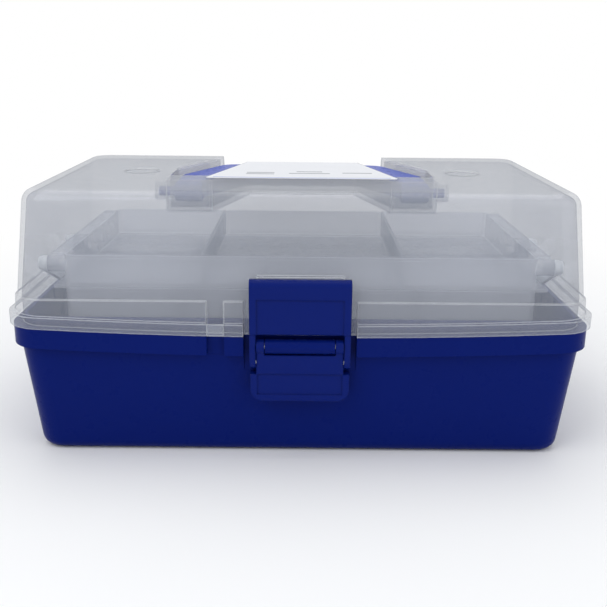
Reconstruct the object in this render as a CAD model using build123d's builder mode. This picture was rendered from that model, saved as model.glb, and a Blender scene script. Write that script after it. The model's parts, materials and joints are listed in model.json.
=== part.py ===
from build123d import *
import math
import os

# Tackle box with a hinged clear lid, a carry handle, a front latch and two rising trays.
# Millimetres, +Z up, front of the box towards -Y, origin under the middle of the base.

# Rims where the lid meets the base
RIM_WIDTH = 330.0          # across the lid's flange
RIM_DEPTH = 200.0          # flange, front to back
RIM_CORNER = 18.0          # flange corner seen from above
SEAM_Z = 79.3              # underside of the flange at the side walls
SEAM_DIP = 4.3             # how far the rim lines dip at the middle
SEAM_GAP = 0.3             # base lip to lid flange
FLANGE_HEIGHT = 6.9

# Lid
LID_TOP_Z = 152.7
LID_WALL = 2.4
FLANGE_OVERHANG = 4.5      # flange beyond the lid's body
SHOULDER_Z = 94.5          # top of the shoulder above the flange
SHOULDER_OUT = 2.8         # shoulder beyond the lid's body
LID_SIDE_LEAN = 3.5        # each side wall moves in from the shoulder to the top
LID_FRONT_LEAN = 12.5
LID_REAR_LEAN = 1.0
LID_TOP_ROUND = 8.0
DIMPLE_X = 103.0           # shallow round marks on the top
DIMPLE_Y = 4.0
DIMPLE_RADIUS = 11.3
DIMPLE_DEPTH = 0.6

# Base
BASE_WALL = 2.8
BASE_FLOOR = 3.0
LIP_HEIGHT = 12.0          # lip below the seam
LIP_INSET = 1.5            # lip behind the flange
LIP_OUT = 3.5              # lip beyond the wall under it
BASE_SIDE_DRAFT = 6.0      # each side wall moves in down to the floor
BASE_FRONT_DRAFT = 7.5
BASE_BOTTOM_ROUND = 7.0
TONGUE_HEIGHT = 4.0        # inner rim that stands up inside the lid
TONGUE_WALL = 2.0
TONGUE_GAP = 0.4

# Rear hinge
HINGE_BEHIND = 4.0         # pin behind the flange
HINGE_Z = 72.0
KNUCKLE_RADIUS = 4.0
KNUCKLE_LENGTH = 12.0
KNUCKLE_GAP = 0.4
HINGE_SET_X = 95.0         # middle of each hinge from the middle of the box
HINGE_PIN_RADIUS = 1.75
PIN_CLEARANCE = 0.05       # radial, on every turning pin

# Handle and its recess in the lid
RECESS_DEPTH = 20.0
RECESS_FRONT_Y = -17.0
RECESS_HALF = 82.0         # half width at the pivots
RECESS_BEND_Y = 21.0
RECESS_REAR_HALF = 58.5
RECESS_REAR_Y = 84.0
ISLAND_HALF = 57.5         # half width of the middle island at its front
ISLAND_REAR_HALF = 38.5
ISLAND_REAR_Y = 54.0
HANDLE_PIVOT_Y = -9.0
HANDLE_SIDE_GAP = 2.2
HANDLE_THICKNESS = 13.0
HANDLE_ARM_WIDTH = 17.5
HANDLE_REAR_GAP = 16.5     # grip's back edge in front of the flange's back
GRIP_DEPTH = 22.0
HANDLE_DROP = 4.5          # handle's top below the lid's top
HANDLE_EDGE = 2.5          # rounding of the long edges
HANDLE_CORNER = 14.0
HANDLE_BEND_Y = 8.0        # inner edges run straight up to here, so the raised arms clear the island
GROOVE_COUNT = 4
GROOVE_PITCH = 20.0
GROOVE_RADIUS = 12.0
GROOVE_DEPTH = 2.6
HANDLE_PIN_RADIUS = 3.0
HANDLE_PIN_IN = 10.0       # pin length inside the handle
HANDLE_PIN_OUT = 8.0       # pin length inside the lid
BOSS_WALL = 2.5            # plastic around a pin or rivet

# Label on the island
LABEL_FRONT_Y = -28.0
LABEL_REAR_GAP = 2.0
LABEL_MARGIN = 1.2
LABEL_THICKNESS = 0.3

# Front latch
LATCH_GAP_HALF = 31.5      # break in the rims for the latch
LATCH_NOTCH_DEPTH = 6.6    # from the flange's front back into the base
LATCH_WIDTH = 55.6
LATCH_SIDE_GAP = 0.3
LATCH_PIN_RADIUS = 1.6
LEVER_PIVOT_FORWARD = 2.0  # pivot behind the flange's front
LEVER_PIVOT_Z = 69.3
LEVER_BARREL_RADIUS = 4.2
LEVER_BARREL_WIDTH = 39.0
LEVER_NECK = 48.6
LEVER_SHOULDER_Z = 53.6
LEVER_BOTTOM_Z = 37.4
LEVER_THICKNESS = 6.4
LEVER_BACK = 3.8           # lever's back face behind its pivot
LEVER_CORNER = 7.0
CLAW_THICKNESS = 5.2
CLAW_TOP_Z = 107.5
CLAW_BOTTOM_Z = 77.0
CLAW_HOOK_HEIGHT = 6.5
CLAW_HOOK_GAP = 0.3        # hook to the catch on the lid
CLAW_BACK_GAP = 1.2        # claw plate to the lid
CLAW_LEG = 3.5             # leg thickness
CLAW_LEG_RADIUS = 3.4
CLAW_ROUND = 3.5
CLAW_PIVOT_DROP = 9.2      # claw pivot below the lever pivot
PANEL_MARGIN = 4.0
PANEL_DEPTH = 0.7
CATCH_HALF = 24.0
CATCH_ABOVE = 1.0          # catch stands this far above the claw

# Padlock slot beside the latch
SLOT_X = -47.2
SLOT_WIDTH = 9.6
SLOT_FRONT_BAND = 1.4

# Trays
TRAY_ARM_GAP = 9.6         # tray's end wall to the arms beside it
TRAY_BEHIND_FRONT = 37.0   # front wall behind the flange's front
TRAY_BEFORE_REAR = 13.5    # stays ahead of the base's back wall as the trays rise
TRAY_HEIGHT = 19.3
TRAY_WALL = 1.8
TRAY_FLOOR = 1.8
TRAY_CORNER = 5.0
TRAY_RIM_OUT = 7.4
TRAY_RIM_THICKNESS = 2.0
TRAY_FRONT_RIM = 1.2       # rim ahead of the front wall, seen as a pale band through the lid
TRAY_STACK_GAP = 0.4
UPPER_RIM_Z = 112.4
UPPER_DIVIDERS = (-58.0, 60.0)
LOWER_DIVIDERS = (-74.0, 70.0)

# Lifting arms, each turning on the base, the lower tray and the upper tray
ARM_BASE_BEFORE_REAR = 80.0
ARM_BASE_Z = 70.0
ARM_TOP_BEHIND_TRAY = 5.0  # upper pivot behind the trays' front wall
ARM_TOP_Z = 106.0
ARM_SPACING = 60.0         # front arms to rear arms
ARM_HALF_WIDTH = 4.5
ARM_THICKNESS = 3.0
ARM_INSET = 16.0           # inner face of the arms from the flange's side
ARM_SIDE_GAP = 0.3
RIVET_RADIUS = 2.4
RIVET_HEAD_RADIUS = 4.0
RIVET_HEAD_HEIGHT = 1.6
RIVET_IN_BOSS = 5.0

os.makedirs("parts", exist_ok=True)

# Places that follow from the sizes above
RIM_HALF = RIM_WIDTH / 2
RIM_REAR = RIM_DEPTH / 2
RIM_FRONT = -RIM_REAR
LID_HALF = RIM_HALF - FLANGE_OVERHANG
LID_FRONT = RIM_FRONT + FLANGE_OVERHANG
LID_REAR = RIM_REAR - FLANGE_OVERHANG
LIP_Z = SEAM_Z - LIP_HEIGHT
TONGUE_INSET = LID_WALL + TONGUE_GAP
HINGE_Y = RIM_REAR + HINGE_BEHIND
RECESS_FLOOR_Z = LID_TOP_Z - RECESS_DEPTH
ISLAND_SLOPE = (ISLAND_HALF - ISLAND_REAR_HALF) / (ISLAND_REAR_Y - RECESS_FRONT_Y)
HANDLE_TOP_Z = LID_TOP_Z - HANDLE_DROP
HANDLE_PIVOT_Z = HANDLE_TOP_Z - HANDLE_THICKNESS / 2
HANDLE_HALF = RECESS_HALF - HANDLE_SIDE_GAP
HANDLE_REAR_HALF = RECESS_REAR_HALF - HANDLE_SIDE_GAP
HANDLE_REAR_Y = RIM_REAR - HANDLE_REAR_GAP - LID_REAR_LEAN - FLANGE_OVERHANG
GRIP_FRONT_Y = HANDLE_REAR_Y - GRIP_DEPTH
LATCH_NOTCH_Y = RIM_FRONT + LATCH_NOTCH_DEPTH
LEVER_PIVOT_Y = RIM_FRONT + LEVER_PIVOT_FORWARD
LEVER_BACK_Y = LEVER_PIVOT_Y + LEVER_BACK
LEVER_FRONT_Y = LEVER_BACK_Y - LEVER_THICKNESS
CLAW_PIVOT_Z = LEVER_PIVOT_Z - CLAW_PIVOT_DROP
CLAW_BACK_Y = LID_FRONT - CLAW_BACK_GAP
CLAW_FRONT_Y = CLAW_BACK_Y - CLAW_THICKNESS
ARM_INNER_X = RIM_HALF - ARM_INSET
ARM_OUTER_X = ARM_INNER_X + ARM_THICKNESS
TRAY_HALF = ARM_INNER_X - TRAY_ARM_GAP
TRAY_FRONT_Y = RIM_FRONT + TRAY_BEHIND_FRONT
TRAY_REAR_Y = RIM_REAR - TRAY_BEFORE_REAR
ARM_BASE_Y = RIM_REAR - ARM_BASE_BEFORE_REAR
ARM_TOP_Y = TRAY_FRONT_Y + ARM_TOP_BEHIND_TRAY
ARM_MID_Y = (ARM_BASE_Y + ARM_TOP_Y) / 2
ARM_MID_Z = (ARM_BASE_Z + ARM_TOP_Z) / 2
LOWER_RIM_Z = UPPER_RIM_Z - TRAY_HEIGHT - TRAY_STACK_GAP


def plan(half, front, rear, corner):
    """Draws a rounded rectangle, seen from above, in the open sketch."""
    with Locations((0, (front + rear) / 2)):
        RectangleRounded(2 * half, rear - front, corner)


def rim_band(z_low, z_high):
    """A block between two rim lines, which are at the stated heights at the side walls."""
    reach = RIM_HALF + KNUCKLE_LENGTH
    rise = SEAM_DIP * ((reach / RIM_HALF) ** 2 - 1)
    with BuildPart() as block:
        with BuildSketch(Plane.XZ.offset(-RIM_DEPTH)):
            with BuildLine():
                low = ThreePointArc((-reach, z_low + rise), (0, z_low - SEAM_DIP), (reach, z_low + rise))
                high = ThreePointArc((-reach, z_high + rise), (0, z_high - SEAM_DIP), (reach, z_high + rise))
                Line(low @ 1, high @ 1)
                Line(low @ 0, high @ 0)
            make_face()
        extrude(amount=2 * RIM_DEPTH)
    return block.part


def rod(x_start, length, y, z, radius):
    """A round bar along X that starts at x_start."""
    with BuildPart() as bar:
        with BuildSketch(Plane.YZ.offset(x_start)):
            with Locations((y, z)):
                Circle(radius)
        extrude(amount=length)
    return bar.part


def block(x0, x1, y0, y1, z0, z1):
    """A plain block between two corners."""
    with BuildPart() as cube:
        with Locations(((x0 + x1) / 2, (y0 + y1) / 2, (z0 + z1) / 2)):
            Box(x1 - x0, y1 - y0, z1 - z0)
    return cube.part


def both(shape):
    """The shape and its mirror image across the middle of the box."""
    return [shape, mirror(shape, about=Plane.YZ)]


def save(part, name):
    part.label = name
    export_step(part, f"parts/{name}.step")


# Recess for the handle. Grown by the lid's wall it also keeps the space inside clear of it.
def recess_cut(grow):
    past = RIM_REAR + RECESS_DEPTH
    front = RECESS_FRONT_Y - 2 * grow - LID_WALL
    front_half = ISLAND_HALF + ISLAND_SLOPE * (RECESS_FRONT_Y - front)
    with BuildPart() as cut:
        with BuildSketch(Plane.XY.offset(RECESS_FLOOR_Z - grow)):
            with BuildLine():
                Polyline(
                    (-RECESS_HALF - grow, RECESS_FRONT_Y - grow),
                    (RECESS_HALF + grow, RECESS_FRONT_Y - grow),
                    (RECESS_HALF + grow, RECESS_BEND_Y),
                    (RECESS_REAR_HALF + grow, RECESS_REAR_Y),
                    (RECESS_REAR_HALF + grow, past),
                    (-RECESS_REAR_HALF - grow, past),
                    (-RECESS_REAR_HALF - grow, RECESS_REAR_Y),
                    (-RECESS_HALF - grow, RECESS_BEND_Y),
                    close=True,
                )
            make_face()
            with BuildLine():
                Polyline(
                    (-front_half + grow, front),
                    (front_half - grow, front),
                    (ISLAND_REAR_HALF - grow, ISLAND_REAR_Y - grow),
                    (-ISLAND_REAR_HALF + grow, ISLAND_REAR_Y - grow),
                    close=True,
                )
            make_face(mode=Mode.SUBTRACT)
        extrude(amount=2 * RECESS_DEPTH)
    return cut.part


# The lid's plain form. Drawn again, smaller by the wall, it is the space inside.
def lid_form(inset):
    corner = RIM_CORNER - FLANGE_OVERHANG / 2 - inset
    top_front = LID_FRONT + LID_FRONT_LEAN + inset
    top_rear = LID_REAR - LID_REAR_LEAN - inset
    with BuildPart() as form:
        with BuildSketch(Plane.XY.offset(SHOULDER_Z)):
            plan(LID_HALF - inset, LID_FRONT + inset, LID_REAR - inset, corner)
        with BuildSketch(Plane.XY.offset(LID_TOP_Z - inset)):
            plan(LID_HALF - LID_SIDE_LEAN - inset, top_front, top_rear, corner)
        loft()
        fillet(form.faces().sort_by(Axis.Z)[-1].edges(), LID_TOP_ROUND - inset)
        with BuildSketch(Plane.XY.offset(LIP_Z)):
            plan(LID_HALF - inset, LID_FRONT + inset, LID_REAR - inset, corner)
        extrude(amount=SHOULDER_Z - LIP_Z)
    return form.part


def flange_ring():
    with BuildPart() as ring:
        with BuildSketch(Plane.XY.offset(LIP_Z)):
            plan(RIM_HALF, RIM_FRONT, RIM_REAR, RIM_CORNER)
        extrude(amount=2 * LIP_HEIGHT + FLANGE_HEIGHT)
        add(rim_band(SEAM_Z, SEAM_Z + FLANGE_HEIGHT), mode=Mode.INTERSECT)
    return ring.part


def lid_shoulder():
    out = SHOULDER_OUT
    corner = RIM_CORNER
    with BuildPart() as shoulder:
        with BuildSketch(Plane.XY.offset(LIP_Z)):
            plan(LID_HALF + out, LID_FRONT - out, LID_REAR + out, corner)
        with BuildSketch(Plane.XY.offset(SHOULDER_Z)):
            plan(LID_HALF + out / 2, LID_FRONT - out / 2, LID_REAR + out / 2, corner)
        loft()
    return shoulder.part


def hinge_leaf(x_middle, length, y_from, z_from, z_to, bore):
    """A knuckle and the web that carries it, with its hole."""
    start = x_middle - length / 2
    with BuildPart() as leaf:
        add(rod(start, length, HINGE_Y, HINGE_Z, KNUCKLE_RADIUS))
        add(block(start, start + length, y_from, HINGE_Y, z_from, z_to))
        add(rod(start, length, HINGE_Y, HINGE_Z, bore), mode=Mode.SUBTRACT)
    return leaf.part


def lid():
    slot_left = SLOT_X - SLOT_WIDTH / 2
    slot_right = SLOT_X + SLOT_WIDTH / 2
    boss_length = HANDLE_PIN_OUT + LID_WALL
    flange_top = SEAM_Z + FLANGE_HEIGHT
    catch_top = CLAW_TOP_Z + CATCH_ABOVE
    with BuildPart() as shell:
        add(lid_form(0))
        add(lid_shoulder())
        add(flange_ring())
        # the rims stop beside the latch, and the wall there stands straight as its catch
        add(
            block(-LATCH_GAP_HALF, LATCH_GAP_HALF, -RIM_DEPTH, LID_FRONT, 0, SHOULDER_Z),
            mode=Mode.SUBTRACT,
        )
        add(
            block(
                -CATCH_HALF,
                CATCH_HALF,
                LID_FRONT,
                LID_FRONT + LID_FRONT_LEAN,
                SHOULDER_Z - LID_WALL,
                catch_top,
            )
        )
        # padlock slot: a break in the shoulder and a hole through the flange
        add(
            block(slot_left, slot_right, -RIM_DEPTH, LID_FRONT, flange_top - SEAM_DIP / 2, LID_TOP_Z),
            mode=Mode.SUBTRACT,
        )
        add(
            block(slot_left, slot_right, RIM_FRONT + SLOT_FRONT_BAND, LID_FRONT, 0, LID_TOP_Z),
            mode=Mode.SUBTRACT,
        )
        add(rim_band(-SEAM_Z, SEAM_Z), mode=Mode.SUBTRACT)
        add(recess_cut(0), mode=Mode.SUBTRACT)
        with BuildPart(mode=Mode.PRIVATE) as space:
            add(lid_form(LID_WALL))
            add(recess_cut(LID_WALL), mode=Mode.SUBTRACT)
        add(space.part, mode=Mode.SUBTRACT)
        add(both(rod(RECESS_HALF, boss_length, HANDLE_PIVOT_Y, HANDLE_PIVOT_Z, HANDLE_PIN_RADIUS + BOSS_WALL)))
        add(
            both(rod(RECESS_HALF, HANDLE_PIN_OUT, HANDLE_PIVOT_Y, HANDLE_PIVOT_Z, HANDLE_PIN_RADIUS)),
            mode=Mode.SUBTRACT,
        )
        with BuildSketch(Plane.XY.offset(LID_TOP_Z)):
            with Locations((-DIMPLE_X, DIMPLE_Y), (DIMPLE_X, DIMPLE_Y)):
                Circle(DIMPLE_RADIUS)
        extrude(amount=-DIMPLE_DEPTH, mode=Mode.SUBTRACT)
        leaf = hinge_leaf(
            HINGE_SET_X,
            KNUCKLE_LENGTH,
            HINGE_Y - KNUCKLE_RADIUS - TONGUE_GAP,
            HINGE_Z,
            flange_top - SEAM_DIP,
            HINGE_PIN_RADIUS + PIN_CLEARANCE,
        )
        add(both(leaf))
    return shell.part


def base():
    tongue_out = TONGUE_INSET
    tongue_in = TONGUE_INSET + TONGUE_WALL
    tongue_top = SEAM_Z + TONGUE_HEIGHT
    lip_half = RIM_HALF - LIP_INSET
    lip_front = RIM_FRONT + LIP_INSET
    lip_rear = RIM_REAR - LIP_INSET
    wall_half = lip_half - LIP_OUT
    wall_front = lip_front + LIP_OUT
    wall_rear = lip_rear - LIP_OUT
    corner = RIM_CORNER - LIP_OUT
    floor_in = BASE_WALL
    knuckle_step = KNUCKLE_LENGTH + KNUCKLE_GAP
    barrel_start = -LEVER_BARREL_WIDTH / 2
    boss_start = ARM_OUTER_X + ARM_SIDE_GAP
    boss_length = wall_half - BASE_WALL / 2 - boss_start
    slot_left = SLOT_X - SLOT_WIDTH / 2
    slot_right = SLOT_X + SLOT_WIDTH / 2
    with BuildPart() as tub:
        with BuildSketch(Plane.XY):
            plan(
                wall_half - BASE_SIDE_DRAFT,
                wall_front + BASE_FRONT_DRAFT,
                wall_rear - BASE_FRONT_DRAFT,
                corner,
            )
        with BuildSketch(Plane.XY.offset(LIP_Z)):
            plan(wall_half, wall_front, wall_rear, corner)
        loft()
        fillet(tub.faces().sort_by(Axis.Z)[0].edges(), BASE_BOTTOM_ROUND)
        with BuildPart(mode=Mode.PRIVATE) as lip:
            with BuildSketch(Plane.XY):
                plan(lip_half, lip_front, lip_rear, RIM_CORNER)
            extrude(amount=SEAM_Z + LIP_HEIGHT)
            add(rim_band(LIP_Z, SEAM_Z - SEAM_GAP), mode=Mode.INTERSECT)
        add(lip.part)
        # inner rim that stands up inside the lid
        with BuildSketch(Plane.XY.offset(LIP_Z)):
            plan(
                LID_HALF - tongue_out,
                LID_FRONT + tongue_out,
                LID_REAR - tongue_out,
                RIM_CORNER - FLANGE_OVERHANG / 2 - tongue_out,
            )
        extrude(amount=tongue_top - LIP_Z)
        # no inner rim at the back, where the trays pass as they rise
        with BuildPart(mode=Mode.PRIVATE) as back_rim:
            add(block(-RIM_HALF, RIM_HALF, LID_REAR - RIM_CORNER, RIM_REAR, LIP_Z, LID_TOP_Z))
            add(rim_band(SEAM_Z - SEAM_GAP, LID_TOP_Z), mode=Mode.INTERSECT)
        add(back_rim.part, mode=Mode.SUBTRACT)
        # notch for the latch, and the padlock slot through the lip
        add(
            block(-LATCH_GAP_HALF, LATCH_GAP_HALF, -RIM_DEPTH, LATCH_NOTCH_Y, LEVER_SHOULDER_Z, SEAM_Z),
            mode=Mode.SUBTRACT,
        )
        add(
            block(slot_left, slot_right, -RIM_DEPTH, wall_front, LIP_Z - SEAM_DIP, SEAM_Z),
            mode=Mode.SUBTRACT,
        )
        with BuildPart(mode=Mode.PRIVATE) as space:
            with BuildSketch(Plane.XY.offset(BASE_FLOOR)):
                plan(
                    wall_half - BASE_SIDE_DRAFT - floor_in,
                    wall_front + BASE_FRONT_DRAFT + floor_in,
                    wall_rear - BASE_FRONT_DRAFT - floor_in,
                    corner - floor_in,
                )
            with BuildSketch(Plane.XY.offset(tongue_top)):
                plan(
                    LID_HALF - tongue_in,
                    LID_FRONT + tongue_in,
                    LID_REAR - tongue_in,
                    RIM_CORNER - FLANGE_OVERHANG / 2 - tongue_in,
                )
            loft()
        add(space.part, mode=Mode.SUBTRACT)
        # bosses that carry the lifting arms
        for y in (ARM_BASE_Y, ARM_BASE_Y + ARM_SPACING):
            add(both(rod(boss_start, boss_length, y, ARM_BASE_Z, RIVET_RADIUS + BOSS_WALL)))
            add(
                both(rod(boss_start, RIVET_IN_BOSS, y, ARM_BASE_Z, RIVET_RADIUS)),
                mode=Mode.SUBTRACT,
            )
        # barrel for the latch lever
        add(rod(barrel_start, LEVER_BARREL_WIDTH, LEVER_PIVOT_Y, LEVER_PIVOT_Z, LEVER_BARREL_RADIUS))
        add(
            block(
                barrel_start,
                -barrel_start,
                LEVER_PIVOT_Y,
                LATCH_NOTCH_Y + BASE_WALL / 2,
                LEVER_PIVOT_Z - LEVER_BARREL_RADIUS,
                LEVER_PIVOT_Z,
            )
        )
        add(
            rod(barrel_start, LEVER_BARREL_WIDTH, LEVER_PIVOT_Y, LEVER_PIVOT_Z, LATCH_PIN_RADIUS),
            mode=Mode.SUBTRACT,
        )
        for side in (-1, 1):
            leaf = hinge_leaf(
                HINGE_SET_X + side * knuckle_step,
                KNUCKLE_LENGTH,
                lip_rear - LIP_OUT,
                HINGE_Z - KNUCKLE_RADIUS,
                HINGE_Z,
                HINGE_PIN_RADIUS,
            )
            add(both(leaf))
    return tub.part


def handle():
    back_half = HANDLE_REAR_HALF
    front = HANDLE_PIVOT_Y - HANDLE_THICKNESS / 2
    bore_start = HANDLE_HALF - HANDLE_PIN_IN - KNUCKLE_GAP
    with BuildPart() as grip:
        with BuildSketch(Plane.XY.offset(HANDLE_TOP_Z - HANDLE_THICKNESS)) as outline:
            with BuildLine():
                Polyline(
                    (-HANDLE_HALF, front),
                    (-HANDLE_HALF, RECESS_BEND_Y),
                    (-back_half, HANDLE_REAR_Y),
                    (back_half, HANDLE_REAR_Y),
                    (HANDLE_HALF, RECESS_BEND_Y),
                    (HANDLE_HALF, front),
                    close=True,
                )
            make_face()
            with BuildLine():
                Polyline(
                    (-HANDLE_HALF + HANDLE_ARM_WIDTH, front - 1),
                    (-HANDLE_HALF + HANDLE_ARM_WIDTH, HANDLE_BEND_Y),
                    (-back_half + HANDLE_ARM_WIDTH, GRIP_FRONT_Y),
                    (back_half - HANDLE_ARM_WIDTH, GRIP_FRONT_Y),
                    (HANDLE_HALF - HANDLE_ARM_WIDTH, HANDLE_BEND_Y),
                    (HANDLE_HALF - HANDLE_ARM_WIDTH, front - 1),
                    close=True,
                )
            make_face(mode=Mode.SUBTRACT)
            fillet(outline.vertices().group_by(Axis.Y)[-1], HANDLE_CORNER)
            with Locations((0, GRIP_FRONT_Y - GROOVE_RADIUS + GROOVE_DEPTH)):
                with GridLocations(GROOVE_PITCH, 0, GROOVE_COUNT, 1):
                    Circle(GROOVE_RADIUS, mode=Mode.SUBTRACT)
        extrude(amount=HANDLE_THICKNESS)
        for level in (grip.faces().sort_by(Axis.Z)[-1], grip.faces().sort_by(Axis.Z)[0]):
            long_edges = level.edges().filter_by(lambda edge: edge.center().Y > front + HANDLE_EDGE)
            fillet(long_edges, HANDLE_EDGE)
        # ends rounded about the pivots
        with BuildPart(mode=Mode.PRIVATE) as side:
            with BuildSketch(Plane.YZ.offset(-RIM_HALF)):
                with Locations((HANDLE_PIVOT_Y, HANDLE_PIVOT_Z)):
                    Circle(HANDLE_THICKNESS / 2)
                with Locations(((HANDLE_PIVOT_Y + RIM_REAR) / 2, HANDLE_PIVOT_Z)):
                    Rectangle(RIM_REAR - HANDLE_PIVOT_Y, HANDLE_THICKNESS)
            extrude(amount=RIM_WIDTH)
        add(side.part, mode=Mode.INTERSECT)
        add(
            both(rod(bore_start, RIM_HALF, HANDLE_PIVOT_Y, HANDLE_PIVOT_Z, HANDLE_PIN_RADIUS + PIN_CLEARANCE)),
            mode=Mode.SUBTRACT,
        )
    return grip.part


def label():
    front_half = ISLAND_HALF + ISLAND_SLOPE * (RECESS_FRONT_Y - LABEL_FRONT_Y) - LABEL_MARGIN
    rear_y = ISLAND_REAR_Y - LABEL_REAR_GAP
    rear_half = ISLAND_REAR_HALF + ISLAND_SLOPE * LABEL_REAR_GAP - LABEL_MARGIN
    with BuildPart() as sheet:
        with BuildSketch(Plane.XY.offset(LID_TOP_Z)) as outline:
            with BuildLine():
                Polyline(
                    (-front_half, LABEL_FRONT_Y),
                    (front_half, LABEL_FRONT_Y),
                    (rear_half, rear_y),
                    (-rear_half, rear_y),
                    close=True,
                )
            make_face()
            fillet(outline.vertices(), 2 * LABEL_MARGIN)
        extrude(amount=LABEL_THICKNESS)
    return sheet.part


def latch_lever():
    half = LATCH_WIDTH / 2
    neck = LEVER_NECK / 2
    body_top = LEVER_PIVOT_Z - LEVER_BARREL_RADIUS - KNUCKLE_GAP
    cheek = neck - LEVER_BARREL_WIDTH / 2 - LATCH_SIDE_GAP
    with BuildPart() as lever:
        with BuildSketch(Plane.XZ.offset(-LEVER_BACK_Y)) as outline:
            with BuildLine():
                Polyline(
                    (-neck, body_top),
                    (neck, body_top),
                    (neck, LEVER_SHOULDER_Z),
                    (half, LEVER_SHOULDER_Z),
                    (half, LEVER_BOTTOM_Z),
                    (-half, LEVER_BOTTOM_Z),
                    (-half, LEVER_SHOULDER_Z),
                    (-neck, LEVER_SHOULDER_Z),
                    close=True,
                )
            make_face()
            fillet(outline.vertices().group_by(Axis.Y)[0], LEVER_CORNER)
        extrude(amount=LEVER_THICKNESS)
        add(both(rod(neck - cheek, cheek, LEVER_PIVOT_Y, LEVER_PIVOT_Z, LEVER_BARREL_RADIUS)))
        add(
            both(
                block(
                    neck - cheek,
                    neck,
                    LEVER_FRONT_Y,
                    LEVER_BACK_Y,
                    body_top - cheek,
                    LEVER_PIVOT_Z,
                )
            )
        )
        add(
            block(
                -half + PANEL_MARGIN,
                half - PANEL_MARGIN,
                LEVER_FRONT_Y,
                LEVER_FRONT_Y + PANEL_DEPTH,
                LEVER_BOTTOM_Z + PANEL_MARGIN,
                LEVER_SHOULDER_Z,
            ),
            mode=Mode.SUBTRACT,
        )
        add(
            rod(-half, LATCH_WIDTH, LEVER_PIVOT_Y, LEVER_PIVOT_Z, LATCH_PIN_RADIUS + PIN_CLEARANCE),
            mode=Mode.SUBTRACT,
        )
        add(
            rod(-half, LATCH_WIDTH, LEVER_PIVOT_Y, CLAW_PIVOT_Z, LATCH_PIN_RADIUS),
            mode=Mode.SUBTRACT,
        )
    return lever.part


def latch_claw():
    leg_in = LEVER_NECK / 2 + LATCH_SIDE_GAP
    leg_out = leg_in + CLAW_LEG
    leg_front = LEVER_PIVOT_Y - CLAW_LEG_RADIUS
    hook_back = LID_FRONT - CLAW_HOOK_GAP
    with BuildPart() as claw:
        with BuildSketch(Plane.YZ.offset(-leg_out)) as outline:
            with BuildLine():
                Polyline(
                    (CLAW_FRONT_Y, CLAW_BOTTOM_Z),
                    (CLAW_BACK_Y, CLAW_BOTTOM_Z),
                    (CLAW_BACK_Y, CLAW_TOP_Z - CLAW_HOOK_HEIGHT),
                    (hook_back, CLAW_TOP_Z - CLAW_HOOK_HEIGHT),
                    (hook_back, CLAW_TOP_Z),
                    (CLAW_FRONT_Y, CLAW_TOP_Z),
                    close=True,
                )
            make_face()
            fillet(outline.vertices().sort_by(Axis.X)[:2].sort_by(Axis.Y)[-1], CLAW_ROUND)
        extrude(amount=2 * leg_out)
        add(
            block(
                -leg_out + PANEL_MARGIN,
                leg_out - PANEL_MARGIN,
                CLAW_FRONT_Y,
                CLAW_FRONT_Y + PANEL_DEPTH,
                CLAW_BOTTOM_Z,
                CLAW_TOP_Z - CLAW_HOOK_HEIGHT - PANEL_MARGIN,
            ),
            mode=Mode.SUBTRACT,
        )
        add(both(rod(leg_in, CLAW_LEG, LEVER_PIVOT_Y, CLAW_PIVOT_Z, CLAW_LEG_RADIUS)))
        add(both(block(leg_in, leg_out, leg_front, CLAW_BACK_Y, CLAW_PIVOT_Z, CLAW_BOTTOM_Z + PANEL_MARGIN)))
        add(
            rod(-leg_out, 2 * leg_out, LEVER_PIVOT_Y, CLAW_PIVOT_Z, LATCH_PIN_RADIUS + PIN_CLEARANCE),
            mode=Mode.SUBTRACT,
        )
    return claw.part


def tray(rim_z, dividers, pivot_y, pivot_z):
    walls = [-TRAY_HALF] + list(dividers) + [TRAY_HALF]
    deep = TRAY_REAR_Y - TRAY_FRONT_Y
    boss_end = ARM_INNER_X - ARM_SIDE_GAP
    with BuildPart() as box:
        with BuildSketch(Plane.XY.offset(rim_z - TRAY_HEIGHT)):
            plan(TRAY_HALF, TRAY_FRONT_Y, TRAY_REAR_Y, TRAY_CORNER)
        extrude(amount=TRAY_HEIGHT)
        with BuildSketch(Plane.XY.offset(rim_z - TRAY_HEIGHT + TRAY_FLOOR)):
            for index in range(len(dividers) + 1):
                left = walls[index] + (TRAY_WALL if index == 0 else TRAY_WALL / 2)
                right = walls[index + 1] - (TRAY_WALL if index == len(dividers) else TRAY_WALL / 2)
                with Locations(((left + right) / 2, (TRAY_FRONT_Y + TRAY_REAR_Y) / 2)):
                    RectangleRounded(right - left, deep - 2 * TRAY_WALL, TRAY_CORNER - TRAY_WALL)
        extrude(amount=TRAY_HEIGHT, mode=Mode.SUBTRACT)
        # rims along both ends and the front
        rim = block(
            TRAY_HALF - TRAY_WALL,
            TRAY_HALF + TRAY_RIM_OUT,
            TRAY_FRONT_Y + TRAY_CORNER,
            TRAY_REAR_Y - TRAY_CORNER,
            rim_z - TRAY_RIM_THICKNESS,
            rim_z,
        )
        add(both(rim))
        add(
            block(
                -TRAY_HALF + TRAY_CORNER,
                TRAY_HALF - TRAY_CORNER,
                TRAY_FRONT_Y - TRAY_FRONT_RIM,
                TRAY_FRONT_Y + TRAY_WALL,
                rim_z - TRAY_RIM_THICKNESS,
                rim_z,
            )
        )
        for y in (pivot_y, pivot_y + ARM_SPACING):
            boss = rod(
                TRAY_HALF - TRAY_WALL,
                boss_end - TRAY_HALF + TRAY_WALL,
                y,
                pivot_z,
                RIVET_RADIUS + BOSS_WALL,
            )
            add(both(boss))
            hole = rod(boss_end - RIVET_IN_BOSS, RIVET_IN_BOSS, y, pivot_z, RIVET_RADIUS)
            add(both(hole), mode=Mode.SUBTRACT)
    return box.part


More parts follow.
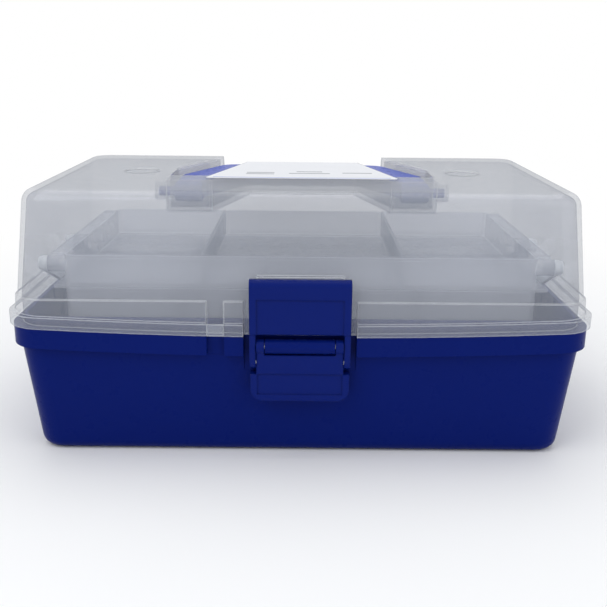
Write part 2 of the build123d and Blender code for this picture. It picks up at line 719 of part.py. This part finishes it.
def arm(y_shift):
    """One lifting arm on the right side."""
    length = math.hypot(ARM_BASE_Y - ARM_TOP_Y, ARM_TOP_Z - ARM_BASE_Z)
    lean = math.degrees(math.atan2(ARM_TOP_Z - ARM_BASE_Z, ARM_TOP_Y - ARM_BASE_Y))
    with BuildPart() as strip:
        with BuildSketch(Plane.YZ.offset(ARM_INNER_X)):
            with Locations((ARM_MID_Y + y_shift, ARM_MID_Z)):
                SlotCenterToCenter(length, 2 * ARM_HALF_WIDTH, rotation=lean)
            with Locations(
                (ARM_BASE_Y + y_shift, ARM_BASE_Z),
                (ARM_MID_Y + y_shift, ARM_MID_Z),
                (ARM_TOP_Y + y_shift, ARM_TOP_Z),
            ):
                Circle(RIVET_RADIUS + PIN_CLEARANCE, mode=Mode.SUBTRACT)
        extrude(amount=ARM_THICKNESS)
    return strip.part


def rivets(pivot_y, pivot_z, head_outside):
    """The four rivets of one body: a front and a rear pivot at each end of the box."""
    inner = ARM_INNER_X - ARM_SIDE_GAP
    outer = ARM_OUTER_X + ARM_SIDE_GAP
    with BuildPart() as group:
        for y in (pivot_y, pivot_y + ARM_SPACING):
            if head_outside:
                shank = rod(inner - RIVET_IN_BOSS, outer - inner + RIVET_IN_BOSS, y, pivot_z, RIVET_RADIUS)
                head = rod(outer, RIVET_HEAD_HEIGHT, y, pivot_z, RIVET_HEAD_RADIUS)
            else:
                shank = rod(inner, outer - inner + RIVET_IN_BOSS, y, pivot_z, RIVET_RADIUS)
                head = rod(inner - RIVET_HEAD_HEIGHT, RIVET_HEAD_HEIGHT, y, pivot_z, RIVET_HEAD_RADIUS)
            add(both(shank))
            add(both(head))
    return group.part


save(base(), "base_tub")
save(lid(), "lid_shell")
save(handle(), "carry_handle")
save(label(), "lid_label")
save(latch_lever(), "latch_lever")
save(latch_claw(), "latch_claw")
save(tray(UPPER_RIM_Z, UPPER_DIVIDERS, ARM_TOP_Y, ARM_TOP_Z), "upper_tray")
save(tray(LOWER_RIM_Z, LOWER_DIVIDERS, ARM_MID_Y, ARM_MID_Z), "lower_tray")

for place, shift in (("front", 0), ("rear", ARM_SPACING)):
    right_arm = arm(shift)
    save(right_arm, f"{place}_arm_right")
    save(mirror(right_arm, about=Plane.YZ), f"{place}_arm_left")

save(rivets(ARM_BASE_Y, ARM_BASE_Z, False), "base_arm_rivets")
save(rivets(ARM_MID_Y, ARM_MID_Z, True), "lower_tray_rivets")
save(rivets(ARM_TOP_Y, ARM_TOP_Z, True), "upper_tray_rivets")

hinge_half = KNUCKLE_LENGTH * 1.5 + KNUCKLE_GAP
hinge_pin = rod(HINGE_SET_X - hinge_half, 2 * hinge_half, HINGE_Y, HINGE_Z, HINGE_PIN_RADIUS)
save(hinge_pin, "hinge_pin_right")
save(mirror(hinge_pin, about=Plane.YZ), "hinge_pin_left")

handle_pin = rod(
    HANDLE_HALF - HANDLE_PIN_IN,
    HANDLE_PIN_IN + HANDLE_SIDE_GAP + HANDLE_PIN_OUT,
    HANDLE_PIVOT_Y,
    HANDLE_PIVOT_Z,
    HANDLE_PIN_RADIUS,
)
save(handle_pin, "handle_pin_right")
save(mirror(handle_pin, about=Plane.YZ), "handle_pin_left")

save(rod(-LEVER_NECK / 2, LEVER_NECK, LEVER_PIVOT_Y, LEVER_PIVOT_Z, LATCH_PIN_RADIUS), "lever_pin")
claw_pin_half = LEVER_NECK / 2 + LATCH_SIDE_GAP + CLAW_LEG
save(rod(-claw_pin_half, 2 * claw_pin_half, LEVER_PIVOT_Y, CLAW_PIVOT_Z, LATCH_PIN_RADIUS), "claw_pin")
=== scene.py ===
"""Studio picture of a tackle box: clear lid, blue base, folding handle, draw latch and two rising trays.

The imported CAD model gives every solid. This script gives the solids their finishes, lays the print on the label
and sets up the studio and the camera.
"""

import json
import logging
import math
from dataclasses import dataclass, field
from enum import Enum

import bpy
import numpy as np
from mathutils import Matrix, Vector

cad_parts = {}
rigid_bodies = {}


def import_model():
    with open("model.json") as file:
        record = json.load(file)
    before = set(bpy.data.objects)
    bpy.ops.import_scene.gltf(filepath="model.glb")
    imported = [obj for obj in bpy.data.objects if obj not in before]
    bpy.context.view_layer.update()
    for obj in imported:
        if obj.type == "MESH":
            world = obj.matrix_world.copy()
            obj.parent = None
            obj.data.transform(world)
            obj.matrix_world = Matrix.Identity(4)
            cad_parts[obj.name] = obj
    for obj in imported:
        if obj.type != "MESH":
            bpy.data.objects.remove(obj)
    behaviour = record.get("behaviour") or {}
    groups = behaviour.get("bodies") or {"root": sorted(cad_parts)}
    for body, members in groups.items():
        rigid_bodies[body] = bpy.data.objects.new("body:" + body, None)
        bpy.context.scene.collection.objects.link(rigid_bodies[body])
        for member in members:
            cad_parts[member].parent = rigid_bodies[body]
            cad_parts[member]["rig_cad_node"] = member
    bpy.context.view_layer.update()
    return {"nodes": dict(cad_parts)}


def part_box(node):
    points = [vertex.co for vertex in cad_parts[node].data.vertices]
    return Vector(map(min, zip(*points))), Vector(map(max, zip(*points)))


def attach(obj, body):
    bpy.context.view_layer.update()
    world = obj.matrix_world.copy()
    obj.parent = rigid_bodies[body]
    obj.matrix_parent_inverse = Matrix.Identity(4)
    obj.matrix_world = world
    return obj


LOG = logging.getLogger("tackle_box")
PICTURE_SIDE = 607
MM = 0.001
PLASTIC_IOR = 1.49
GLOSS_SMOOTHER = 0.6  # the gloss on clear plastic against the roughness of its body
GLOSS_TINT = (0.42, 0.44, 0.48, 1.0)
# painted highlight: the near-white colour given to the rounded rims of clear plastic
RIM_HIGHLIGHT_COLOUR = (0.86, 0.88, 0.92, 1.0)
FLAT_FROM = 0.995  # rounded and plain normals this alike are a flat face
RIM_FROM = 0.80  # and this unlike, a full rim

Colour = tuple[float, float, float]


class FinishKind(Enum):
    """How light meets a finish."""

    GLOSS = "gloss"
    CLEAR = "clear"
    PAPER = "paper"
    METAL = "metal"
    MARK = "ink"


@dataclass(frozen=True)
class Finish:
    """One procedural finish.

    Args:
        name: material name.
        kind: how light meets it.
        base: main linear colour.
        shade: linear colour of the faint mottling.
        roughness: mean roughness.
        spread: how far the roughness wanders either way.
        grain: noise scale of the mottling, per metre.
        bump: height of the surface ripple, in metres.
        alpha: share of light that one skin of the plastic stops.
        edge: radius, in metres, by which sharp moulded edges are softened.
        coat: weight of the clear gloss on top.
        specular: strength of the plain surface gloss.
    """

    name: str
    kind: FinishKind
    base: Colour
    shade: Colour
    roughness: float
    spread: float
    grain: float
    bump: float
    alpha: float = 1.0
    edge: float = 0.0
    coat: float = 0.0
    specular: float = 0.5


ROYAL_BLUE = Finish(
    "royal_blue_plastic", FinishKind.GLOSS, (0.0016, 0.0090, 0.125), (0.0020, 0.0110, 0.140), 0.30, 0.05, 9.0, 2e-5,
    edge=8e-4, specular=0.05,
)
LATCH_BLUE = Finish(
    "latch_blue_plastic", FinishKind.GLOSS, (0.0016, 0.0100, 0.135), (0.0020, 0.0120, 0.150), 0.20, 0.05, 14.0, 2e-5,
    edge=1.6e-3, specular=0.08,
)
HANDLE_BLUE = Finish(
    "handle_blue_plastic", FinishKind.GLOSS, (0.007, 0.040, 0.36), (0.009, 0.048, 0.40), 0.30, 0.06, 14.0, 3e-5,
    edge=8e-4, specular=0.10,
)
CLEAR_LID = Finish(
    "clear_lid_plastic", FinishKind.CLEAR, (0.38, 0.41, 0.48), (0.42, 0.45, 0.52), 0.20, 0.05, 9.0, 4e-5,
    alpha=0.26, edge=1.3e-3,
)
MILKY_TRAY = Finish(
    "milky_tray_plastic", FinishKind.CLEAR, (0.86, 0.89, 0.97), (0.90, 0.92, 0.98), 0.30, 0.08, 14.0, 5e-5,
    alpha=0.30, edge=4.5e-4,
)
WHITE_ARM = Finish(
    "white_arm_plastic", FinishKind.GLOSS, (0.80, 0.83, 0.86), (0.88, 0.90, 0.92), 0.36, 0.08, 30.0, 4e-5,
    edge=5e-4, coat=0.1,
)
PIN_STEEL = Finish(
    "brushed_pin_steel", FinishKind.METAL, (0.55, 0.55, 0.57), (0.68, 0.68, 0.69), 0.30, 0.12, 60.0, 2e-5, edge=3e-4,
)
LABEL_PAPER = Finish(
    "label_paper", FinishKind.PAPER, (0.70, 0.71, 0.74), (0.74, 0.75, 0.78), 0.55, 0.08, 90.0, 1e-5,
)
GREY_INK = Finish(
    "grey_ink", FinishKind.MARK, (0.16, 0.17, 0.20), (0.22, 0.23, 0.26), 0.5, 0.05, 120.0, 4e-6,
)
# colour of the thin blue line that bows along the label's front edge
BOWED_LINE_BLUE = Finish(
    "bowed_line_blue", FinishKind.MARK, (0.02, 0.10, 0.55), (0.03, 0.13, 0.62), 0.45, 0.05, 120.0, 4e-6,
)
STUDIO_WHITE = Finish(
    "studio_sweep", FinishKind.PAPER, (0.93, 0.93, 0.93), (0.95, 0.95, 0.95), 0.85, 0.03, 3.0, 1e-5,
)


@dataclass
class FinishShop:
    """Makes each finish's material once and hands out the same one after that.

    Args:
        made: materials made so far, by name.
        rim_more: extra share of light that a rim of clear plastic stops.
        shade_let_through: share of its shade that milky plastic passes on.
    """

    made: dict[str, bpy.types.Material] = field(default_factory=dict)
    # rim_more: extra share of light that a rim of clear plastic stops, so that more of the rim's painted highlight
    # shows.
    rim_more: float = 0.5
    shade_let_through: float = 0.75

    def material(self, finish: Finish) -> bpy.types.Material:
        """The material of a finish.

        Args:
            finish: the finish to make.

        Returns:
            The material, with its node tree complete.
        """
        if finish.name not in self.made:
            self.made[finish.name] = self._make(finish)
        return self.made[finish.name]

    def paint(self, obj: bpy.types.Object, finish: Finish, smooth: bool = True) -> None:
        """Gives an object one finish.

        Args:
            obj: mesh object.
            finish: finish for all of it.
            smooth: shade its faces smooth.
        """
        obj.data.materials.clear()
        obj.data.materials.append(self.material(finish))
        if smooth and obj.get("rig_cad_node") is None:
            flags = np.ones(len(obj.data.polygons), dtype=bool)
            obj.data.polygons.foreach_set("use_smooth", flags)

    def _make(self, finish: Finish) -> bpy.types.Material:
        """Builds the node tree: mottled colour, wandering roughness, fine scuffs, ripple and softened edges."""
        material = bpy.data.materials.new(finish.name)
        material.use_nodes = True
        tree = material.node_tree
        tree.nodes.clear()
        place = tree.nodes.new("ShaderNodeTexCoord")
        surface = tree.nodes.new("ShaderNodeBsdfPrincipled")
        output = tree.nodes.new("ShaderNodeOutputMaterial")

        mottle = self._noise(tree, place, finish.grain, 4.0)
        colour = tree.nodes.new("ShaderNodeMix")
        colour.data_type = "RGBA"
        colour.inputs["A"].default_value = (*finish.base, 1.0)
        colour.inputs["B"].default_value = (*finish.shade, 1.0)
        tree.links.new(mottle, colour.inputs["Factor"])
        tree.links.new(colour.outputs["Result"], surface.inputs["Base Color"])

        scuff = self._noise(tree, place, finish.grain * 14.0, 8.0)
        wander = tree.nodes.new("ShaderNodeMapRange")
        wander.inputs["From Min"].default_value = 0.3
        wander.inputs["From Max"].default_value = 0.7
        wander.inputs["To Min"].default_value = max(finish.roughness - finish.spread, 0.03)
        wander.inputs["To Max"].default_value = min(finish.roughness + finish.spread, 1.0)
        tree.links.new(scuff, wander.inputs["Value"])
        tree.links.new(wander.outputs["Result"], surface.inputs["Roughness"])

        ripple = tree.nodes.new("ShaderNodeBump")
        ripple.inputs["Strength"].default_value = 0.35
        ripple.inputs["Distance"].default_value = finish.bump
        tree.links.new(self._noise(tree, place, finish.grain * 3.0, 3.0), ripple.inputs["Height"])
        if finish.edge > 0:
            soften = tree.nodes.new("ShaderNodeBevel")
            soften.samples = 4
            soften.inputs["Radius"].default_value = finish.edge
            tree.links.new(soften.outputs["Normal"], ripple.inputs["Normal"])
        tree.links.new(ripple.outputs["Normal"], surface.inputs["Normal"])

        if finish.kind is FinishKind.CLEAR:
            shown = self._see_through(tree, finish, surface, ripple, soften, colour)
        else:
            shown = surface.outputs["BSDF"]
        tree.links.new(shown, output.inputs["Surface"])
        surface.inputs["Specular IOR Level"].default_value = finish.specular
        surface.inputs["Coat Weight"].default_value = finish.coat
        surface.inputs["Coat Roughness"].default_value = 0.12
        surface.inputs["Metallic"].default_value = 1.0 if finish.kind is FinishKind.METAL else 0.0
        surface.inputs["IOR"].default_value = PLASTIC_IOR
        return material

    def _see_through(
        self,
        tree: bpy.types.NodeTree,
        finish: Finish,
        surface: bpy.types.Node,
        ripple: bpy.types.Node,
        soften: bpy.types.Node,
        colour: bpy.types.Node,
    ) -> bpy.types.NodeSocket:
        """Lets part of the light straight through, under a full gloss that the clearness doesn't weaken.

        Edges and thin rims of clear mouldings are made less clear and their colour is whitened into a painted
        highlight;
        both follow how far the rounded normal turns away from the face's own. Milky plastic scatters most of the
        light on into the box, so only a quarter of its body counts as shade.

        Args:
            tree: the material's nodes.
            finish: finish being made.
            surface: milky body of the plastic.
            ripple: source of the surface normal.
            soften: rounded normals along the moulded edges.
            colour: mottled colour of the body.

        Returns:
            The finished shader output. The gloss is left off inner faces, where the wall would mirror itself.
        """
        through = tree.nodes.new("ShaderNodeBsdfTransparent")
        body = tree.nodes.new("ShaderNodeMixShader")
        face = tree.nodes.new("ShaderNodeNewGeometry")
        rays = tree.nodes.new("ShaderNodeLightPath")
        turned = tree.nodes.new("ShaderNodeVectorMath")
        turned.operation = "DOT_PRODUCT"
        tree.links.new(soften.outputs["Normal"], turned.inputs[0])
        tree.links.new(face.outputs["True Normal"], turned.inputs[1])
        # mask of the rounded rims: it makes them less clear and carries their painted highlight
        rim_and_highlight_mask = tree.nodes.new("ShaderNodeMapRange")
        rim_and_highlight_mask.inputs["From Min"].default_value = FLAT_FROM
        rim_and_highlight_mask.inputs["From Max"].default_value = RIM_FROM
        tree.links.new(turned.outputs["Value"], rim_and_highlight_mask.inputs["Value"])
        rim = self._math(tree, "MULTIPLY_ADD", rim_and_highlight_mask.outputs["Result"], self.rim_more, finish.alpha)
        passing = self._math(tree, "MULTIPLY_ADD", rays.outputs["Is Shadow Ray"], -self.shade_let_through, 1.0)
        tree.links.new(self._math(tree, "MULTIPLY", rim, passing), body.inputs[0])
        # painted highlight: along the rims the body colour is whitened towards the near-white rim colour
        painted_rim_highlight = tree.nodes.new("ShaderNodeMix")
        painted_rim_highlight.data_type = "RGBA"
        painted_rim_highlight.inputs["B"].default_value = RIM_HIGHLIGHT_COLOUR
        tree.links.new(rim_and_highlight_mask.outputs["Result"], painted_rim_highlight.inputs["Factor"])
        tree.links.new(colour.outputs["Result"], painted_rim_highlight.inputs["A"])
        tree.links.new(painted_rim_highlight.outputs["Result"], surface.inputs["Base Color"])
        tree.links.new(through.outputs["BSDF"], body.inputs[1])
        tree.links.new(surface.outputs["BSDF"], body.inputs[2])
        gloss = tree.nodes.new("ShaderNodeBsdfAnisotropic")
        gloss.inputs["Color"].default_value = GLOSS_TINT
        gloss.inputs["Roughness"].default_value = finish.roughness * GLOSS_SMOOTHER
        tree.links.new(ripple.outputs["Normal"], gloss.inputs["Normal"])
        fresnel = tree.nodes.new("ShaderNodeFresnel")
        fresnel.inputs["IOR"].default_value = PLASTIC_IOR
        tree.links.new(ripple.outputs["Normal"], fresnel.inputs["Normal"])
        outer = self._math(tree, "SUBTRACT", 1.0, face.outputs["Backfacing"])
        share = self._math(tree, "MULTIPLY", fresnel.outputs["Fac"], outer)
        whole = tree.nodes.new("ShaderNodeMixShader")
        tree.links.new(share, whole.inputs[0])
        tree.links.new(body.outputs["Shader"], whole.inputs[1])
        tree.links.new(gloss.outputs["BSDF"], whole.inputs[2])
        return whole.outputs["Shader"]

    @staticmethod
    def _math(tree: bpy.types.NodeTree, operation: str, *terms: bpy.types.NodeSocket | float) -> bpy.types.NodeSocket:
        """Adds a math node whose inputs are sockets or plain numbers, and returns its output."""
        node = tree.nodes.new("ShaderNodeMath")
        node.operation = operation
        for number, term in enumerate(terms):
            if isinstance(term, bpy.types.NodeSocket):
                tree.links.new(term, node.inputs[number])
            else:
                node.inputs[number].default_value = term
        return node.outputs["Value"]

    @staticmethod
    def _noise(tree: bpy.types.NodeTree, place: bpy.types.Node, scale: float, detail: float) -> bpy.types.NodeSocket:
        """Adds a noise texture in object coordinates and returns its grey output."""
        noise = tree.nodes.new("ShaderNodeTexNoise")
        noise.inputs["Scale"].default_value = scale
        noise.inputs["Detail"].default_value = detail
        noise.inputs["Roughness"].default_value = 0.55
        tree.links.new(place.outputs["Object"], noise.inputs["Vector"])
        return noise.outputs["Fac"]


def mesh_object(name: str, points: np.ndarray, quads: np.ndarray) -> bpy.types.Object:
    """A mesh object in the row frame.

    Args:
        name: object name.
        points: vertex places, one row each, in metres.
        quads: vertex numbers of each four-sided face.

    Returns:
        The linked object.
    """
    mesh = bpy.data.meshes.new(name)
    mesh.from_pydata(points.reshape(-1, 3).tolist(), [], quads.reshape(-1, 4).tolist())
    mesh.validate()
    mesh.update()
    obj = bpy.data.objects.new(name, mesh)
    bpy.context.scene.collection.objects.link(obj)
    return obj


def grid_quads(rows: int, columns: int) -> np.ndarray:
    """Faces of a sheet of points with the given rows and columns, counter-clockwise seen from above."""
    corner = (np.arange(rows - 1)[:, None] * columns + np.arange(columns - 1)[None, :]).ravel()
    return np.stack([corner, corner + 1, corner + columns + 1, corner + columns], axis=1)


def closed_sheet(name: str, top: np.ndarray, thickness: float) -> bpy.types.Object:
    """A thin closed sheet below a grid of points.

    The underside repeats the upper grid, lowered by the thickness and wound the other way, and a strip of faces
    joins the two round the outline.

    Args:
        name: object name.
        top: upper surface, shape (rows, columns, 3), rows towards +Y and columns towards +X.
        thickness: depth of the sheet.

    Returns:
        The linked object.
    """
    rows, columns = top.shape[:2]
    under = top - np.array([0.0, 0.0, thickness])
    index = np.arange(rows * columns).reshape(rows, columns)
    rim = np.concatenate([index[0, :], index[1:, -1], index[-1, -2::-1], index[-2:0:-1, 0]])
    after = np.roll(rim, -1)
    shift = rows * columns
    upper = grid_quads(rows, columns)
    lower = upper[:, ::-1] + shift
    wall = np.stack([rim + shift, after + shift, after, rim], axis=1)
    points = np.concatenate([top.reshape(-1, 3), under.reshape(-1, 3)])
    return mesh_object(name, points, np.concatenate([upper, lower, wall]))


@dataclass
class BlueBase:
    """The moulded base with its hinge pins and the barrel of the latch."""

    shell: Finish = ROYAL_BLUE
    pins: Finish = PIN_STEEL

    def build(self, nodes: dict[str, bpy.types.Object], shop: FinishShop) -> None:
        """Finishes the base.

        Args:
            nodes: CAD nodes by name.
            shop: source of materials.
        """
        shop.paint(nodes["base_tub"], self.shell)
        for name in ("hinge_pin_left", "hinge_pin_right", "lever_pin"):
            shop.paint(nodes[name], self.pins)


@dataclass
class ClearLid:
    """The translucent lid."""

    shell: Finish = CLEAR_LID

    def build(self, nodes: dict[str, bpy.types.Object], shop: FinishShop) -> None:
        """Finishes the lid.

        Args:
            nodes: CAD nodes by name.
            shop: source of materials.
        """
        shop.paint(nodes["lid_shell"], self.shell)


@dataclass
class CarryHandle:
    """The folding handle with its two pivot pins."""

    grip: Finish = HANDLE_BLUE

    def build(self, nodes: dict[str, bpy.types.Object], shop: FinishShop) -> None:
        """Finishes the handle.

        Args:
            nodes: CAD nodes by name.
            shop: source of materials.
        """
        for name in ("carry_handle", "handle_pin_left", "handle_pin_right"):
            shop.paint(nodes[name], self.grip)


@dataclass
class DrawLatch:
    """The lever and the claw at the front."""

    plastic: Finish = LATCH_BLUE
    pin: Finish = PIN_STEEL

    def build(self, nodes: dict[str, bpy.types.Object], shop: FinishShop) -> None:
        """Finishes the latch.

        Args:
            nodes: CAD nodes by name.
            shop: source of materials.
        """
        for name in ("latch_lever", "latch_claw"):
            shop.paint(nodes[name], self.plastic)
        shop.paint(nodes["claw_pin"], self.pin)


@dataclass
class TrayLift:
    """The two trays, the arms that raise them and their rivets."""

    tray: Finish = MILKY_TRAY
    arm: Finish = WHITE_ARM

    def build(self, nodes: dict[str, bpy.types.Object], shop: FinishShop) -> None:
        """Finishes the trays and the arms.

        Args:
            nodes: CAD nodes by name.
            shop: source of materials.
        """
        for name in ("upper_tray", "lower_tray"):
            shop.paint(nodes[name], self.tray)
        for name in sorted(nodes):
            if "_arm_" in name or name.endswith("_rivets"):
                shop.paint(nodes[name], self.arm)


@dataclass
class LabelSheet:
    """The white label on the lid's island, with a plain printed pattern of bars."""

    paper: Finish = LABEL_PAPER
    ink: Finish = GREY_INK
    line: Finish = BOWED_LINE_BLUE
    mark_height: float = 0.03 * MM
    line_bow: float = 2.2 * MM
    line_width: float = 1.0 * MM
    bar_depth: float = 2.4 * MM

    def build(self, nodes: dict[str, bpy.types.Object], shop: FinishShop) -> None:
        """Finishes the label and lays its printed bars and its thin blue line on it.

        Args:
            nodes: CAD nodes by name.
            shop: source of materials.
        """
        shop.paint(nodes["lid_label"], self.paper)
        low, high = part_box("lid_label")
        top = high.z
        depth = high.y - low.y
        front_half = (high.x - low.x) / 2
        pieces = [self._bowed_line(front_half, low.y, top)]
        pieces += self._bars(front_half, low.y, depth, top)
        for obj, finish in pieces:
            shop.paint(obj, finish, smooth=False)
            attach(obj, "lid")

    def _bowed_line(self, half: float, front: float, top: float) -> tuple[bpy.types.Object, Finish]:
        """A thin line across the label that bows towards the front: its distance from the front edge falls with
        the square of the distance from the middle."""
        across = np.linspace(-0.93, 0.93, 41)
        middle = front + 4.5 * MM - self.line_bow * (1 - across**2)
        edges = np.stack([middle - self.line_width / 2, middle + self.line_width / 2])
        grid = np.empty((2, across.size, 3))
        grid[..., 0] = across * half
        grid[..., 1] = edges
        grid[..., 2] = top + self.mark_height
        return closed_sheet("label_bowed_line", grid, self.mark_height * 0.9), self.line

    def _bars(self, half: float, front: float, depth: float, top: float) -> list[tuple[bpy.types.Object, Finish]]:
        """Rows of short bars that stand for print, with no letters in them."""
        rows = [
            (0.22, -0.60, -0.30),
            (0.30, -0.60, -0.30),
            (0.26, -0.14, 0.30),
            (0.36, -0.06, 0.22),
            (0.30, 0.44, 0.76),
        ]
        made = []
        for number, (share, left, right) in enumerate(rows):
            y = front + share * depth
            grid = np.empty((2, 2, 3))
            grid[..., 0] = np.array([left, right])[None, :] * half
            grid[..., 1] = np.array([y, y + self.bar_depth])[:, None]
            grid[..., 2] = top + self.mark_height
            made.append((closed_sheet(f"label_bar_{number}", grid, self.mark_height * 0.9), self.ink))
        return made


@dataclass
class Studio:
    """Floor, lights and surroundings."""

    floor_finish: Finish = STUDIO_WHITE
    floor_half: float = 4.0
    sky_strength: float = 0.60
    sweep_from: float = 0.24
    sweep_to: float = 0.62

    def build(self, shop: FinishShop) -> None:
        """Lays the floor, sets the lights and the white surroundings.

        Args:
            shop: source of materials.
        """
        side = np.linspace(-self.floor_half, self.floor_half, 9)
        grid = np.stack([*np.meshgrid(side, side), np.zeros((9, 9))], axis=-1)
        floor = mesh_object("studio_floor", grid, grid_quads(9, 9))
        shop.paint(floor, self.floor_finish)
        self._fade_floor(shop.material(self.floor_finish))
        self._light("key_light", (-0.75, -0.75, 1.15), (0.0, 0.0, 0.08), 1.0, 6.4)
        self._light("fill_light", (0.95, -0.70, 0.75), (0.0, 0.0, 0.08), 1.1, 3.2)
        self._light("top_light", (0.0, 0.35, 1.35), (0.0, 0.0, 0.1), 1.4, 6.2)
        self._surroundings()

    def _fade_floor(self, material: bpy.types.Material) -> None:
        """Fades the floor into the white surroundings away from the object, and leaves the shadow beside it."""
        tree = material.node_tree
        output = next(node for node in tree.nodes if node.type == "OUTPUT_MATERIAL")
        lit = output.inputs["Surface"].links[0].from_socket
        place = tree.nodes.new("ShaderNodeTexCoord")
        away = tree.nodes.new("ShaderNodeVectorMath")
        away.operation = "LENGTH"
        tree.links.new(place.outputs["Object"], away.inputs[0])
        fade = tree.nodes.new("ShaderNodeMapRange")
        fade.interpolation_type = "SMOOTHSTEP"
        fade.inputs["From Min"].default_value = self.sweep_from
        fade.inputs["From Max"].default_value = self.sweep_to
        tree.links.new(away.outputs["Value"], fade.inputs["Value"])
        white = tree.nodes.new("ShaderNodeEmission")
        white.inputs["Strength"].default_value = 1.0
        mix = tree.nodes.new("ShaderNodeMixShader")
        tree.links.new(fade.outputs["Result"], mix.inputs[0])
        tree.links.new(lit, mix.inputs[1])
        tree.links.new(white.outputs["Emission"], mix.inputs[2])
        tree.links.new(mix.outputs["Shader"], output.inputs["Surface"])

    def _light(self, name: str, place: Colour, aim: Colour, size: float, power: float) -> None:
        """Adds a square soft light."""
        lamp = bpy.data.lights.new(name, "AREA")
        lamp.size = size
        lamp.energy = power
        obj = bpy.data.objects.new(name, lamp)
        forward = np.array(aim) - np.array(place)
        forward /= np.linalg.norm(forward)
        right = np.cross(forward, (0.0, 0.0, 1.0))
        right /= np.linalg.norm(right)
        up = np.cross(right, forward)
        turn = np.eye(4)
        turn[:3, 0], turn[:3, 1], turn[:3, 2], turn[:3, 3] = right, up, -forward, place
        obj.matrix_world = Matrix(turn.tolist())
        bpy.context.scene.collection.objects.link(obj)

    def _surroundings(self) -> None:
        """White where the camera sees them, in a reflection or through clear plastic, and softer as a light."""
        world = bpy.data.worlds.new("studio_white")
        world.use_nodes = True
        tree = world.node_tree
        tree.nodes.clear()
        rays = tree.nodes.new("ShaderNodeLightPath")
        seen = tree.nodes.new("ShaderNodeBackground")
        seen.inputs["Color"].default_value = (1.0, 1.0, 1.0, 1.0)
        seen.inputs["Strength"].default_value = 1.0
        glow = tree.nodes.new("ShaderNodeBackground")
        glow.inputs["Color"].default_value = (0.95, 0.97, 1.0, 1.0)
        glow.inputs["Strength"].default_value = self.sky_strength
        white = rays.outputs["Is Camera Ray"]
        for kind in ("Is Transmission Ray", "Is Glossy Ray"):
            either = tree.nodes.new("ShaderNodeMath")
            either.operation = "MAXIMUM"
            tree.links.new(white, either.inputs[0])
            tree.links.new(rays.outputs[kind], either.inputs[1])
            white = either.outputs["Value"]
        mix = tree.nodes.new("ShaderNodeMixShader")
        tree.links.new(white, mix.inputs[0])
        tree.links.new(glow.outputs["Background"], mix.inputs[1])
        tree.links.new(seen.outputs["Background"], mix.inputs[2])
        output = tree.nodes.new("ShaderNodeOutputWorld")
        tree.links.new(mix.outputs["Shader"], output.inputs["Surface"])
        bpy.context.scene.world = world


@dataclass
class PhotoCamera:
    """The camera, placed where the photograph was taken from.

    Args:
        place: eye point in the row frame.
        pitch: how far it looks down, in radians.
        roll: turn about its own view, in radians.
        focal_pixels: focal length in pixels of the picture.
    """

    place: Colour = (1.7 * MM, -543.0 * MM, 225.7 * MM)
    pitch: float = 0.2871
    roll: float = 0.0092
    focal_pixels: float = 845.7

    def build(self) -> None:
        """Creates the camera and makes it the scene's."""
        lens = bpy.data.cameras.new("photo_camera")
        lens.sensor_width = 36.0
        lens.lens = lens.sensor_width * self.focal_pixels / PICTURE_SIDE
        lens.clip_start = 0.01
        obj = bpy.data.objects.new("photo_camera", lens)
        turn = Matrix.Rotation(math.pi / 2 - self.pitch, 4, "X") @ Matrix.Rotation(self.roll, 4, "Z")
        obj.matrix_world = Matrix.Translation(self.place) @ turn
        bpy.context.scene.collection.objects.link(obj)
        bpy.context.scene.camera = obj


def main() -> None:
    """Builds the scene in order and reports each step."""
    logging.basicConfig(level=logging.INFO, format="%(name)s: %(message)s")
    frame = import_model()
    nodes = frame["nodes"]
    shop = FinishShop()
    for part in (BlueBase(), ClearLid(), CarryHandle(), DrawLatch(), TrayLift(), LabelSheet()):
        part.build(nodes, shop)
        LOG.info("built %s", type(part).__name__)
    Studio().build(shop)
    PhotoCamera().build()
    bpy.context.scene.view_settings.view_transform = "Standard"


if __name__ == "__main__":
    main()
